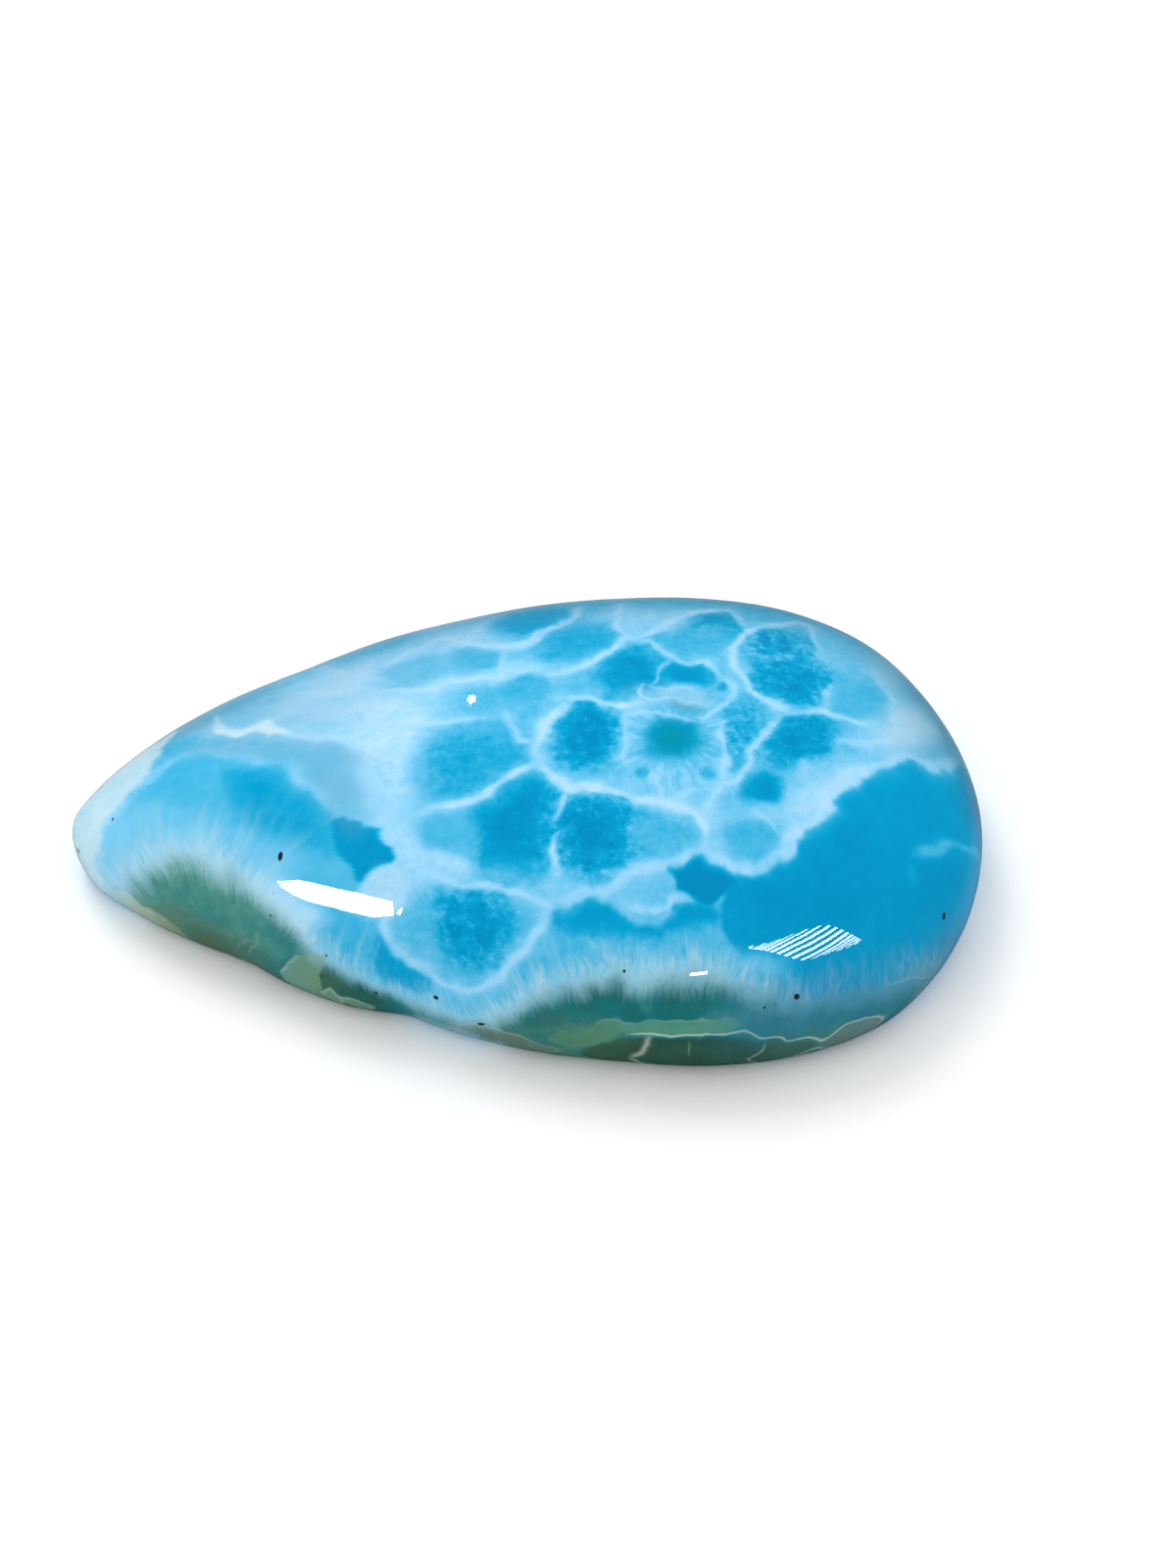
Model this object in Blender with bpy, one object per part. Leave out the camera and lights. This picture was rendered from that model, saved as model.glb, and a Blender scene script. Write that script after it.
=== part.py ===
"""Larimar cabochon: one polished pear-shaped stone lying on its flat ground back.

Metres, +Z up. The origin is on the flat back, midway along the stone's length.
The narrow tip points to -X, the broad butt to +X, and the crown is the highest point.
"""

import math

import bpy
import bmesh
from mathutils import Vector

MM = 0.001

# Driving dimensions
LENGTH = 50.0 * MM            # tip to butt
HEIGHT = 10.0 * MM            # flat back to the top of the crown
GIRDLE_HEIGHT = 2.5 * MM      # height at which the stone is widest
UNDER_EDGE_INSET = 1.5 * MM   # how far the back's edge lies inside the girdle
CROWN_X = 7.0 * MM            # the crown stands nearer the broad end

# The plan's half-breadths at stations along the length, from tip to butt: distance along X from
# the middle of the length, then breadth on the far side (+Y) and on the near side (-Y), in mm
STATIONS = (
    (-24.3, 1.4, 2.6),
    (-22.0, 4.3, 4.7),
    (-18.0, 7.7, 7.3),
    (-13.5, 10.3, 10.0),
    (-9.0, 12.7, 12.2),
    (-4.5, 14.3, 13.6),
    (0.0, 15.5, 15.0),
    (5.0, 16.1, 15.8),
    (10.0, 16.1, 16.1),
    (15.0, 15.1, 15.3),
    (19.5, 12.5, 13.1),
    (23.0, 7.6, 8.7),
)

# Shallow hollows that hand grinding left in the near edge: place along X, depth and spread, in mm.
# They are deepest from the girdle down, and fade out on the way up the dome.
EDGE_HOLLOWS = (
    (-16.1, 0.4, 1.9),
    (-7.5, 0.6, 2.2),
)
HOLLOW_FADE = math.radians(35.0)

# Fineness of the faceted solid
STEPS_PER_SPAN = 4            # points between two neighbouring knots of the outline
DOME_RINGS = 16               # from the girdle up to the crown
UNDER_EDGE_RINGS = 5          # from the girdle down to the flat back


def outline_knots():
    """The points that the stone's plan runs through, anticlockwise from the tip."""
    half = LENGTH / 2
    near = [Vector((x * MM, -near_breadth * MM)) for x, _, near_breadth in STATIONS]
    far = [Vector((x * MM, far_breadth * MM)) for x, far_breadth, _ in STATIONS]
    return [Vector((-half, 0.0))] + near + [Vector((half, 0.0))] + far[::-1]


def tangent(before, knot, after):
    """The curve's direction at a knot, leaning towards its nearer neighbour."""
    back = knot - before
    ahead = after - knot
    share = ahead.length / (back.length + ahead.length)
    return back.normalized() * share + ahead.normalized() * (1 - share)


def smooth_outline(knots, steps):
    """A smooth closed curve through the knots, as cubic spans with chord-length tangents."""
    points = []
    count = len(knots)
    for i in range(count):
        before, start, end, after = (knots[(i + k) % count] for k in (-1, 0, 1, 2))
        span = (end - start).length
        leave = tangent(before, start, end) * span
        arrive = tangent(start, end, after) * span
        for step in range(steps):
            t = step / steps
            points.append((2 * t**3 - 3 * t**2 + 1) * start + (t**3 - 2 * t**2 + t) * leave
                          + (3 * t**2 - 2 * t**3) * end + (t**3 - t**2) * arrive)
    return points


def hollow_depth(point):
    """How far the ground hollows pull a point of the outline in towards the crown."""
    if point.y > 0:
        return 0.0
    return sum(depth * MM * math.exp(-((point.x / MM - place) / spread) ** 2)
               for place, depth, spread in EDGE_HOLLOWS)


def dome_ring(outline, rise):
    """The ring at an angle of rise over the girdle: a quarter ellipse from girdle to crown."""
    crown = Vector((CROWN_X, 0.0))
    height = GIRDLE_HEIGHT + (HEIGHT - GIRDLE_HEIGHT) * math.sin(rise)
    keep = max(0.0, 1 - rise / HOLLOW_FADE)
    fade = keep * keep * (3 - 2 * keep)
    ring = []
    for point in outline:
        reach = point - crown
        reach -= reach.normalized() * hollow_depth(point) * fade
        ring.append((crown + reach * math.cos(rise)).to_3d() + Vector((0, 0, height)))
    return ring


def under_edge_ring(outline, drop):
    """The ring at an angle of drop under the girdle: a quarter ellipse round to the flat back."""
    crown = Vector((CROWN_X, 0.0))
    inset = UNDER_EDGE_INSET * (1 - math.cos(drop))
    height = GIRDLE_HEIGHT * (1 - math.sin(drop))
    ring = []
    for point in outline:
        inward = (crown - point).normalized()
        ring.append((point + inward * (inset + hollow_depth(point))).to_3d() + Vector((0, 0, height)))
    return ring


def stone_mesh():
    """Rings from the edge of the back, up over the girdle, to the crown, lofted and closed."""
    outline = smooth_outline(outline_knots(), STEPS_PER_SPAN)
    quarter = math.pi / 2
    drops = [quarter * k / UNDER_EDGE_RINGS for k in range(UNDER_EDGE_RINGS, 0, -1)]
    rises = [quarter * k / DOME_RINGS for k in range(DOME_RINGS)]
    rings = [under_edge_ring(outline, drop) for drop in drops]
    rings += [dome_ring(outline, rise) for rise in rises]

    bm = bmesh.new()
    loops = [[bm.verts.new(co) for co in ring] for ring in rings]
    crown = bm.verts.new((CROWN_X, 0.0, HEIGHT))
    count = len(outline)
    for i in range(count):
        j = (i + 1) % count
        for lower, upper in zip(loops, loops[1:]):
            bm.faces.new((lower[i], lower[j], upper[j], upper[i]))
        bm.faces.new((loops[-1][i], loops[-1][j], crown))
    for face in bm.faces:
        face.smooth = True
    back = bm.faces.new(loops[0][::-1])
    back.smooth = False

    mesh = bpy.data.meshes.new("larimar_cabochon")
    bm.to_mesh(mesh)
    bm.free()
    return mesh


def larimar_material():
    """Polished sky-blue pectolite."""
    material = bpy.data.materials.new("polished_larimar")
    material.use_nodes = True
    shader = material.node_tree.nodes["Principled BSDF"]
    shader.inputs["Base Color"].default_value = (0.10, 0.48, 0.74, 1.0)
    shader.inputs["Roughness"].default_value = 0.12
    shader.inputs["Metallic"].default_value = 0.0
    return material


def clear_scene():
    for obj in list(bpy.data.objects):
        bpy.data.objects.remove(obj, do_unlink=True)


def main():
    clear_scene()
    parts = bpy.data.collections.new("Larimar cabochon")
    bpy.context.scene.collection.children.link(parts)

    mesh = stone_mesh()
    mesh.materials.append(larimar_material())
    stone = bpy.data.objects.new("larimar_cabochon", mesh)
    parts.objects.link(stone)


main()
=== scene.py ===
"""The looks of a polished larimar cabochon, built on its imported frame. Metres, +Z up."""

import math

import bmesh
import bpy
import numpy as np
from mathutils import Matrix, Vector
from mathutils.bvhtree import BVHTree
from mathutils.interpolate import poly_3d_calc


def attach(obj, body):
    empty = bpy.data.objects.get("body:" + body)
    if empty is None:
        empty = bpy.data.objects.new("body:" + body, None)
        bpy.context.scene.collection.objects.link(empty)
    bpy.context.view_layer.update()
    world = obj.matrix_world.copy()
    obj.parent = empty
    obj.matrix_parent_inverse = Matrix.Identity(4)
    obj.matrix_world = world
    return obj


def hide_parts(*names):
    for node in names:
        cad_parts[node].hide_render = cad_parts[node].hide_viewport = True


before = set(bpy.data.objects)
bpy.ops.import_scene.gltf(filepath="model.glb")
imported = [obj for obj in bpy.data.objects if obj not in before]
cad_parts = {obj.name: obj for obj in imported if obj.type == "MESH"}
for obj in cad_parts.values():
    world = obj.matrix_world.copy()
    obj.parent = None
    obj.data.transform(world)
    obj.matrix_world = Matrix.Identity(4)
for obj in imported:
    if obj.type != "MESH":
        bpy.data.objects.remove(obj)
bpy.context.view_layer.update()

MM = 0.001

# The photograph's frame and the camera that took it
PHOTO_WIDTH, PHOTO_HEIGHT = 1200, 1600
CAMERA_DISTANCE = 300 * MM
CAMERA_ELEVATION = math.radians(47.0)
PIXELS_PER_MM = 18.42                   # at the stone's origin
ORIGIN_PIXEL = (538.5, 874.6)           # where the stone's origin shows
SENSOR = 36.0                           # the long side, in millimetres

# Fineness of the polished surface
AROUND = 600
DOME_RINGS = 140
UNDER_EDGE_RINGS = 14
RIM_CROWDING = 0.45                     # how much closer the dome's rings stand near the girdle
HOLLOW_FADE = math.radians(35.0)        # the edge hollows are gone at this angle up the dome


class Bench:
    """Places nodes in one tree, and fills or links their inputs."""

    def __init__(self, tree):
        self.tree = tree

    def feed(self, socket, value):
        if isinstance(value, bpy.types.NodeSocket):
            self.tree.links.new(value, socket)
        else:
            socket.default_value = value

    def add(self, kind, inputs=None, **settings):
        node = self.tree.nodes.new(kind)
        for name, setting in settings.items():
            setattr(node, name, setting)
        for name, value in (inputs or {}).items():
            self.feed(node.inputs[name], value)
        return node

    def math(self, operation, *values):
        node = self.add("ShaderNodeMath", operation=operation)
        for socket, value in zip(node.inputs, values):
            self.feed(socket, value)
        return node.outputs[0]

    def vector(self, operation, *values, scale=None):
        node = self.add("ShaderNodeVectorMath", operation=operation)
        for socket, value in zip(node.inputs, values):
            self.feed(socket, value)
        if scale is not None:
            self.feed(node.inputs["Scale"], scale)
        return node.outputs["Value" if operation in ("LENGTH", "DISTANCE", "DOT_PRODUCT") else "Vector"]

    def xyz(self, x, y, z):
        return self.add("ShaderNodeCombineXYZ", {"X": x, "Y": y, "Z": z}).outputs[0]

    def ease(self, value, start, end, low=0.0, high=1.0):
        """A smooth step from low to high while value goes from start to end."""
        node = self.add("ShaderNodeMapRange", interpolation_type="SMOOTHSTEP")
        for name, number in zip(("Value", "From Min", "From Max", "To Min", "To Max"),
                                (value, start, end, low, high)):
            self.feed(node.inputs[name], number)
        return node.outputs[0]

    def blend(self, share, first, second):
        """A number between first and second."""
        node = self.add("ShaderNodeMix", data_type="FLOAT")
        for socket, value in zip((node.inputs[0], node.inputs[2], node.inputs[3]), (share, first, second)):
            self.feed(socket, value)
        return node.outputs[0]


# The stone's form, read from its CAD node
RING_GAP = 0.01 * MM                    # the node's rings stand further apart than this
OVERSHOOT = 0.012 * MM                  # how far a smooth curve through the outline's points swings out past them


def cad_rings(node):
    """The node's horizontal rings of corner points, from the flat back up."""
    bm = bmesh.new()
    bm.from_mesh(node.data)
    bmesh.ops.remove_doubles(bm, verts=bm.verts, dist=RING_GAP)
    rings = []
    for point in sorted((vertex.co.copy() for vertex in bm.verts), key=lambda co: co.z):
        if not rings or point.z - rings[-1][0].z > RING_GAP:
            rings.append([])
        rings[-1].append(point)
    bm.free()
    return rings


def read_form(node):
    """The driving sizes and the outline of the dome, as the CAD node has them."""
    rings = cad_rings(node)
    top = rings[-1][0]
    height = top.z
    crown = Vector((top.x, top.y, 0.0))

    def reach(points):
        """Distance from the crown's axis by direction round it."""
        offsets = [Vector((p.x, p.y, 0.0)) - crown for p in points]
        return sorted((math.atan2(o.y, o.x), o.length) for o in offsets)

    widest = max(rings[:-1], key=lambda ring: sum(length for _, length in reach(ring)))
    girdle_height = widest[0].z
    girdle = reach(widest)
    back_edge = reach(rings[0])

    def rise(ring):
        return math.asin(min(1.0, (ring[0].z - girdle_height) / (height - girdle_height)))

    clear = next(ring for ring in rings if ring[0].z > girdle_height and rise(ring) > HOLLOW_FADE)
    angles, lengths = zip(*reach(clear))
    girdle_angles = [angle for angle, _ in girdle]
    unhollowed = np.interp(girdle_angles, angles, lengths, period=2 * math.pi) / math.cos(rise(clear))
    return {
        "crown": crown,
        "height": height - OVERSHOOT,
        "girdle_height": girdle_height,
        "inset": girdle[0][1] - back_edge[0][1],
        "outline": [crown + Vector((math.cos(a), math.sin(a), 0.0)) * (length - OVERSHOOT) for a, length in girdle],
        "hollow": [max(0.0, full - length) for full, (_, length) in zip(unhollowed, girdle)],
    }


def outline_loop(form):
    """The girdle's plan as a loop of edges; each point knows how deep the edge is hollowed there."""
    mesh = bpy.data.meshes.new("girdle_outline")
    count = len(form["outline"])
    mesh.from_pydata(form["outline"], [(i, (i + 1) % count) for i in range(count)], [])
    hollow = mesh.attributes.new("hollow", "FLOAT", "POINT")
    hollow.data.foreach_set("value", form["hollow"])
    loop = bpy.data.objects.new("girdle_outline", mesh)
    bpy.context.scene.collection.objects.link(loop)
    return loop


STONE_INPUTS = {
    "Crown": "NodeSocketVector",
    "Height": "NodeSocketFloat",
    "Girdle Height": "NodeSocketFloat",
    "Under-edge Inset": "NodeSocketFloat",
    "Hollow Fade": "NodeSocketFloat",
    "Rim Crowding": "NodeSocketFloat",
    "Around": "NodeSocketInt",
    "Dome Rings": "NodeSocketInt",
    "Under-edge Rings": "NodeSocketInt",
    "Finish": "NodeSocketMaterial",
}
BACK_RINGS = 6

# The bake's map: the dome and its under-edge unrolled round the crown in one island, the back in another
UNROLLED_UNDER_EDGE = 3.2 * MM          # the under-edge's length along a meridian
BACK_EDGE_INSET = 1.5 * MM              # how far the back's edge lies inside the girdle
DOME_MAP_SCALE = (0.98 / (58 * MM), 0.98 / (58 * MM))
DOME_MAP_CENTRE = (0.5, 0.66)
BACK_MAP_SCALE = (0.30 / (33 * MM), -0.30 / (33 * MM))      # as the back shows from below
BACK_MAP_CENTRE = (0.5, 0.16)


def stone_tree():
    """Builds the node tree that closes a pear outline into a domed stone with a rounded under-edge."""
    tree = bpy.data.node_groups.new("polished_pear", "GeometryNodeTree")
    tree.interface.new_socket("Geometry", in_out="INPUT", socket_type="NodeSocketGeometry")
    for name, kind in STONE_INPUTS.items():
        tree.interface.new_socket(name, in_out="INPUT", socket_type=kind)
    tree.interface.new_socket("Geometry", in_out="OUTPUT", socket_type="NodeSocketGeometry")
    bench = Bench(tree)
    given = bench.add("NodeGroupInput").outputs
    quarter = math.pi / 2

    curve = bench.add("GeometryNodeMeshToCurve", {"Mesh": given["Geometry"]}).outputs[0]
    curve = bench.add("GeometryNodeCurveSplineType", {"Curve": curve}, spline_type="CATMULL_ROM").outputs[0]
    curve = bench.add("GeometryNodeSetSplineResolution", {"Geometry": curve, "Resolution": 16}).outputs[0]
    hollow_field = bench.add("GeometryNodeInputNamedAttribute", {"Name": "hollow"}, data_type="FLOAT").outputs[0]

    def band(rings, height_and_plan):
        """A grid round the stone, its columns along the outline, shaped by a rule for its rows."""
        rows = bench.math("ADD", rings, 1)
        columns = bench.math("ADD", given["Around"], 1)
        grid = bench.add("GeometryNodeMeshGrid", {"Size X": 1.0, "Size Y": 1.0, "Vertices X": columns,
                                                  "Vertices Y": rows}).outputs["Mesh"]
        place = bench.add("ShaderNodeSeparateXYZ", {0: bench.add("GeometryNodeInputPosition").outputs[0]}).outputs
        along = bench.math("ADD", place["X"], 0.5)
        up = bench.math("ADD", place["Y"], 0.5)
        sample = bench.add("GeometryNodeSampleCurve", {"Curves": curve, "Value": hollow_field, "Factor": along},
                           data_type="FLOAT", mode="FACTOR", use_all_curves=True)
        reach = bench.vector("SUBTRACT", sample.outputs["Position"], given["Crown"])
        outward = bench.vector("NORMALIZE", reach)
        plan, height, map_place, scale, centre = height_and_plan(reach, outward, sample.outputs["Value"], up)
        lifted = bench.vector("ADD", bench.vector("ADD", given["Crown"], plan), bench.xyz(0.0, 0.0, height))
        uv = bench.vector("MULTIPLY_ADD", map_place, (*scale, 0.0), (*centre, 0.0))
        shaped = bench.add("GeometryNodeStoreNamedAttribute", {"Geometry": grid, "Name": "OFBake", "Value": uv},
                           data_type="FLOAT2", domain="CORNER").outputs[0]
        flat = bench.vector("ADD", map_place, (0.0, 0.0, 0.0))
        shaped = bench.add("GeometryNodeStoreNamedAttribute", {"Geometry": shaped, "Name": "unrolled", "Value": flat},
                           data_type="FLOAT_VECTOR", domain="POINT").outputs[0]
        return bench.add("GeometryNodeSetPosition", {"Geometry": shaped, "Position": lifted}).outputs[0]

    def dome(reach, outward, hollow, up):
        crowding = bench.math("MULTIPLY", given["Rim Crowding"], bench.math("SUBTRACT", 1.0, up))
        rise = bench.math("MULTIPLY", bench.math("MULTIPLY", up, bench.math("ADD", 1.0, crowding)), quarter)
        refill = bench.math("MULTIPLY", hollow, bench.ease(rise, 0.0, given["Hollow Fade"]))
        full = bench.vector("ADD", reach, bench.vector("SCALE", outward, scale=refill))
        plan = bench.vector("SCALE", full, scale=bench.math("COSINE", rise))
        swell = bench.math("SUBTRACT", given["Height"], given["Girdle Height"])
        height = bench.math("MULTIPLY_ADD", swell, bench.math("SINE", rise), given["Girdle Height"])
        unrolled = bench.vector("SCALE", reach, scale=bench.math("SUBTRACT", 1.0, up))
        return plan, height, bench.vector("ADD", unrolled, given["Crown"]), DOME_MAP_SCALE, DOME_MAP_CENTRE

    def under_edge(reach, outward, hollow, up):
        drop = bench.math("MULTIPLY", up, quarter)
        inset = bench.math("MULTIPLY", given["Under-edge Inset"],
                           bench.math("SUBTRACT", bench.math("COSINE", drop), 1.0))
        plan = bench.vector("ADD", reach, bench.vector("SCALE", outward, scale=inset))
        height = bench.math("MULTIPLY", given["Girdle Height"],
                            bench.math("SUBTRACT", 1.0, bench.math("SINE", drop)))
        length = bench.math("MULTIPLY", up, UNROLLED_UNDER_EDGE)
        unrolled = bench.vector("ADD", reach, bench.vector("SCALE", outward, scale=length))
        return plan, height, bench.vector("ADD", unrolled, given["Crown"]), DOME_MAP_SCALE, DOME_MAP_CENTRE

    def flat_back(reach, outward, hollow, up):
        inset = bench.math("MULTIPLY", given["Under-edge Inset"], -1.0)
        edge = bench.vector("ADD", reach, bench.vector("SCALE", outward, scale=inset))
        plan = bench.vector("SCALE", edge, scale=bench.math("SUBTRACT", 1.0, up))
        return plan, 0.0, bench.vector("ADD", plan, given["Crown"]), BACK_MAP_SCALE, BACK_MAP_CENTRE

    join = bench.add("GeometryNodeJoinGeometry")
    upper = band(given["Dome Rings"], dome)
    lower = bench.add("GeometryNodeFlipFaces", {"Mesh": band(given["Under-edge Rings"], under_edge)}).outputs[0]
    back = bench.add("GeometryNodeFlipFaces", {"Mesh": band(BACK_RINGS, flat_back)}).outputs[0]
    for piece in (upper, lower, back):
        tree.links.new(piece, join.inputs[0])
    closed = bench.add("GeometryNodeMergeByDistance", {"Geometry": join.outputs[0], "Distance": 1e-6}).outputs[0]
    smooth = bench.add("GeometryNodeSetShadeSmooth", {"Geometry": closed, "Shade Smooth": True}).outputs[0]
    real = bench.add("GeometryNodeRealizeInstances", {"Geometry": smooth}).outputs[0]
    finished = bench.add("GeometryNodeSetMaterial", {"Geometry": real, "Material": given["Finish"]}).outputs[0]
    bench.add("NodeGroupOutput", {"Geometry": finished})
    return tree


def polished_stone(form, finish):
    """The whole stone as one fine closed mesh on the CAD node's own outline and sizes."""
    loop = outline_loop(form)
    tree = stone_tree()
    shaper = loop.modifiers.new("polished_pear", "NODES")
    shaper.node_group = tree
    values = {
        "Crown": form["crown"],
        "Height": form["height"],
        "Girdle Height": form["girdle_height"],
        "Under-edge Inset": form["inset"],
        "Hollow Fade": HOLLOW_FADE,
        "Rim Crowding": RIM_CROWDING,
        "Around": AROUND,
        "Dome Rings": DOME_RINGS,
        "Under-edge Rings": UNDER_EDGE_RINGS,
        "Finish": finish,
    }
    for socket in tree.interface.items_tree:
        if socket.in_out == "INPUT" and socket.name in values:
            shaper[socket.identifier] = values[socket.name]
    graph = bpy.context.evaluated_depsgraph_get()
    mesh = bpy.data.meshes.new_from_object(loop.evaluated_get(graph), preserve_all_data_layers=True, depsgraph=graph)
    mesh.name = "larimar_stone"
    stone = bpy.data.objects.new("larimar_stone", mesh)
    bpy.context.scene.collection.objects.link(stone)
    bpy.data.objects.remove(loop, do_unlink=True)
    return stone


def photo_camera():
    """The camera at the photograph's viewing angle, set over so that the stone fills the same place."""
    data = bpy.data.cameras.new("photo_camera")
    data.sensor_width = SENSOR
    focal_pixels = PIXELS_PER_MM * CAMERA_DISTANCE / MM
    data.lens = focal_pixels / PHOTO_HEIGHT * SENSOR
    data.clip_start, data.clip_end = 0.01, 10.0
    camera = bpy.data.objects.new("photo_camera", data)
    bpy.context.scene.collection.objects.link(camera)
    back = Vector((0.0, -math.cos(CAMERA_ELEVATION), math.sin(CAMERA_ELEVATION)))
    right = Vector((1.0, 0.0, 0.0))
    up = back.cross(right)
    aside = (PHOTO_WIDTH / 2 - ORIGIN_PIXEL[0]) / PIXELS_PER_MM * MM
    raised = (ORIGIN_PIXEL[1] - PHOTO_HEIGHT / 2) / PIXELS_PER_MM * MM
    camera.location = back * CAMERA_DISTANCE + right * aside + up * raised
    camera.rotation_euler = back.to_track_quat("Z", "Y").to_euler()
    bpy.context.scene.camera = camera
    return camera


# Markings of the stone. Places are pixels of the photograph; widths and depths are in millimetres.

def chart_noise(places, size, seed, octaves=3):
    """Smooth random waves over the chart, about -1 to 1, their longest one size across."""
    total = np.zeros(len(places))
    weight = 0.0
    for octave in range(octaves):
        table = np.random.default_rng(seed + octave).uniform(-1, 1, (128, 128))
        turn = 0.7 * octave
        scale = 2 ** octave / size
        x = (places[:, 0] * math.cos(turn) - places[:, 1] * math.sin(turn)) * scale + 51.3
        y = (places[:, 0] * math.sin(turn) + places[:, 1] * math.cos(turn)) * scale + 17.9
        column, row = np.floor(x).astype(int), np.floor(y).astype(int)
        u, v = x - column, y - row
        u, v = u * u * (3 - 2 * u), v * v * (3 - 2 * v)
        corner = [[table[(column + i) % 128, (row + j) % 128] for j in (0, 1)] for i in (0, 1)]
        near = corner[0][0] * (1 - v) + corner[0][1] * v
        far = corner[1][0] * (1 - v) + corner[1][1] * v
        total += (near * (1 - u) + far * u) * 0.5 ** octave
        weight += 0.5 ** octave
    return total / weight * 1.6


def smooth_step(value, start, end):
    t = np.clip((value - start) / (end - start), 0, 1)
    return t * t * (3 - 2 * t)


def smooth_route(knots, closed=False, steps=6):
    """A smooth route through the knots, as an array of points."""
    knots = np.asarray(knots, float)
    if len(knots) < 3 and not closed:
        return knots
    if closed:
        padded = np.vstack([knots[-1:], knots, knots[:2]])
    else:
        padded = np.vstack([2 * knots[0] - knots[1], knots, 2 * knots[-1] - knots[-2]])
    route = []
    for before, start, end, after in zip(padded, padded[1:], padded[2:], padded[3:]):
        for t in np.arange(steps) / steps:
            route.append(0.5 * (2 * start + (end - before) * t + (2 * before - 5 * start + 4 * end - after) * t**2
                                + (3 * start - before - 3 * end + after) * t**3))
    if not closed:
        route.append(knots[-1])
    return np.array(route)


SEEN_FACING = 0.05                      # a place this much turned to the camera still shows
SECTORS = 360                           # directions round the crown in which the last place seen is looked up
FOLD_INSET = 0.9                        # the markings are folded this far inside the edge of sight, in mm
LONGEST_FOLD = 8.0                      # and no further than this, in mm


class Chart:
    """The stone's surface unrolled round its crown, in millimetres, with the values painted on it."""

    def __init__(self, stone, camera):
        self.mesh = stone.data
        count = len(self.mesh.vertices)
        unrolled = np.zeros(count * 3)
        self.mesh.attributes["unrolled"].data.foreach_get("vector", unrolled)
        self.places = unrolled.reshape(-1, 3)[:, :2] / MM
        spots = np.zeros(count * 3)
        self.mesh.vertices.foreach_get("co", spots)
        self.spots = spots.reshape(-1, 3) / MM
        self.crown = self.spots[self.spots[:, 2].argmax(), :2]
        self.ground = self.mend_back_edge()
        bpy.context.view_layer.update()
        self.eye = camera.matrix_world.translation
        self.turn = camera.matrix_world.to_3x3()
        folded, self.beyond = self.fold_unseen()
        waves = [chart_noise(self.places, 2.4, seed) for seed in (11, 23)]
        ripples = [chart_noise(self.places, 0.9, seed) for seed in (37, 41)]
        self.warped = folded + 0.16 * np.stack(waves, 1) + 0.16 * np.stack(ripples, 1)
        self.values = {}
        self.tree = BVHTree.FromPolygons([v.co for v in self.mesh.vertices],
                                         [tuple(p.vertices) for p in self.mesh.polygons])

    def mend_back_edge(self):
        """Puts the ring that the under-edge shares with the flat back where the under-edge has it."""
        spots = self.spots
        flat = spots[:, 2] < 0.001
        shared = flat & (np.hypot(*(self.places - spots[:, :2]).T) > 0.05)
        outward = spots[shared, :2] - self.crown
        outward /= np.linalg.norm(outward, axis=1)[:, None]
        self.places[shared] = spots[shared, :2] + outward * (BACK_EDGE_INSET + UNROLLED_UNDER_EDGE) / MM
        return (flat & ~shared).astype(float)

    def fold_unseen(self):
        """Folds the places out of the photograph's sight back over the last ones seen.

        What is painted near the edge of sight then carries on past it, mirrored. Returns the folded places,
        and how far each is past the fold, in millimetres.
        """
        normals = np.zeros(len(self.places) * 3)
        self.mesh.vertices.foreach_get("normal", normals)
        normals = normals.reshape(-1, 3)
        sights = np.array(self.eye) - self.spots * MM
        seen = (normals * sights).sum(1) / np.linalg.norm(sights, axis=1) > SEEN_FACING
        reach = self.places - self.crown
        radius = np.hypot(*reach.T)
        bearing = (np.arctan2(reach[:, 1], reach[:, 0]) / math.tau + 0.5) * SECTORS
        sector = bearing.astype(int) % SECTORS
        limits = np.zeros(SECTORS)
        np.maximum.at(limits, sector[seen], radius[seen])
        spread = np.hanning(9) / np.hanning(9).sum()
        limits = np.convolve(np.concatenate([limits[-4:], limits, limits[:4]]), spread, "valid")
        fold = np.interp(bearing, np.arange(SECTORS) + 0.5, limits, period=SECTORS) - FOLD_INSET
        beyond = np.maximum(0, radius - fold)
        keep = 1 - np.where(beyond > 0, beyond + np.minimum(beyond, LONGEST_FOLD), 0) / np.maximum(radius, 0.01)
        return self.crown + reach * keep[:, None], beyond

    def sight(self, pixel):
        """Where a pixel's line of sight meets the stone, or passes nearest to it: point, corners, shares, line."""
        focal = PIXELS_PER_MM * CAMERA_DISTANCE / MM
        line = self.turn @ Vector((pixel[0] - PHOTO_WIDTH / 2, PHOTO_HEIGHT / 2 - pixel[1], -focal))
        line.normalize()
        point, _, face, _ = self.tree.ray_cast(self.eye, line)
        if point is None:
            distance = CAMERA_DISTANCE
            for _ in range(4):
                point, _, face, _ = self.tree.find_nearest(self.eye + line * distance)
                distance = (point - self.eye).dot(line)
        corners = list(self.mesh.polygons[face].vertices)
        shares = poly_3d_calc([self.mesh.vertices[c].co for c in corners], point)
        return point, corners, shares, line

    def place(self, pixel):
        """Where on the chart a pixel of the photograph falls."""
        _, corners, shares, _ = self.sight(pixel)
        return sum(share * self.places[c] for share, c in zip(shares, corners))

    def reflected(self, pixel, distance):
        """The point that a pixel of the photograph shows reflected in the stone, that far away from it."""
        point, corners, shares, line = self.sight(pixel)
        normal = Vector()
        for share, corner in zip(shares, corners):
            normal += share * self.mesh.vertices[corner].normal
        return point + line.reflect(normal.normalized()) * distance

    def route(self, pixels, closed=False):
        return smooth_route([self.place(p) for p in pixels], closed)

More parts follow.
